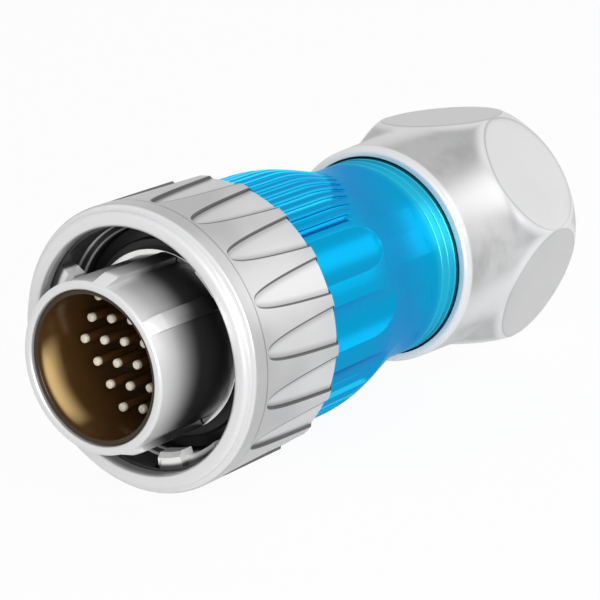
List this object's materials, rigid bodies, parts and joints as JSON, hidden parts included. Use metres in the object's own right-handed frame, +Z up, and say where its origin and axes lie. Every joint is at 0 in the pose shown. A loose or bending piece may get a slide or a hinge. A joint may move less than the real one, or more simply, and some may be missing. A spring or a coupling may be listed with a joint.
{
  "type": "push pull circular connector",
  "caption": "Circular cable plug with a keyed barrel, pin contacts, a sprung fluted coupling ring, a ribbed blue grip and a domed hexagon cable nut.",
  "frame": {"origin": "centre of the barrel's mouth plane, on the connector's axis", "axes": "+X along the connector from the mating mouth to the cable outlet, +Z up through the middle of a nut flat and across the contact rows, so the connector lies on a flat"},
  "size_m": [0.0807, 0.0328, 0.0328],
  "materials": {
    "shell_chrome": "polished bright plating",
    "clip_steel": "bright spring steel",
    "seal_rubber": "black moulded rubber",
    "liner_bronze": "glossy dark bronze",
    "insert_plastic": "glossy dark brown moulding",
    "inner_brass": "turned brass",
    "ring_metal": "satin with a bright rounded lip",
    "lock_steel": "bright spring steel",
    "spring_steel": "drawn spring wire",
    "grip_paint": "bright blue anodised satin",
    "collet_plastic": "pale moulding",
    "nut_metal": "satin plating, brighter on the front collar",
    "contact_metal": "warm gold plating"
  },
  "bodies": {
    "connector_body": {"front_shell": "shell_chrome", "seal_clip": "clip_steel", "face_seal": "seal_rubber", "barrel_liner": "liner_bronze", "front_insert": "insert_plastic", "rear_insert": "insert_plastic", "insert_nut": "inner_brass", "body_seal": "seal_rubber", "return_spring": "spring_steel", "grip_body": "grip_paint", "cable_collet": "collet_plastic", "cable_seal": "seal_rubber", "pin_01": "contact_metal", "pin_02": "contact_metal", "pin_03": "contact_metal", "pin_04": "contact_metal", "pin_05": "contact_metal", "pin_06": "contact_metal", "pin_07": "contact_metal", "pin_08": "contact_metal", "pin_09": "contact_metal", "pin_10": "contact_metal", "pin_11": "contact_metal", "pin_12": "contact_metal", "pin_13": "contact_metal", "pin_14": "contact_metal", "pin_15": "contact_metal", "pin_16": "contact_metal", "pin_17": "contact_metal", "pin_18": "contact_metal", "pin_19": "contact_metal", "pin_20": "contact_metal", "pin_21": "contact_metal", "pin_22": "contact_metal", "pin_23": "contact_metal", "pin_24": "contact_metal"},
    "coupling_ring_body": {"coupling_ring": "ring_metal", "lock_ring": "lock_steel", "spring_seat": "clip_steel"},
    "slip_ring_body": {"slip_ring": "inner_brass"},
    "cable_nut_body": {"cable_nut": "nut_metal"}
  },
  "joints": [
    {"name": "ring_pull", "type": "slide", "parent": "connector_body", "child": "coupling_ring_body", "axis": [1, 0, 0], "range_m": [0, 0.0025], "stiffness_N_per_m": 800, "springref_m": -0.004, "deforming": ["return_spring"]},
    {"name": "nut_travel", "type": "slide", "parent": "connector_body", "child": "slip_ring_body", "axis": [1, 0, 0], "range_m": [0, 0.003]},
    {"name": "nut_turn", "type": "hinge", "parent": "slip_ring_body", "child": "cable_nut_body", "pos_m": [0.0666, 0, 0], "axis": [1, 0, 0], "range_deg": [0, 720]}
  ],
  "couplings": [
    {"joint": "nut_turn", "follows": "nut_travel", "rad_per_m": 4188.7}
  ]
}
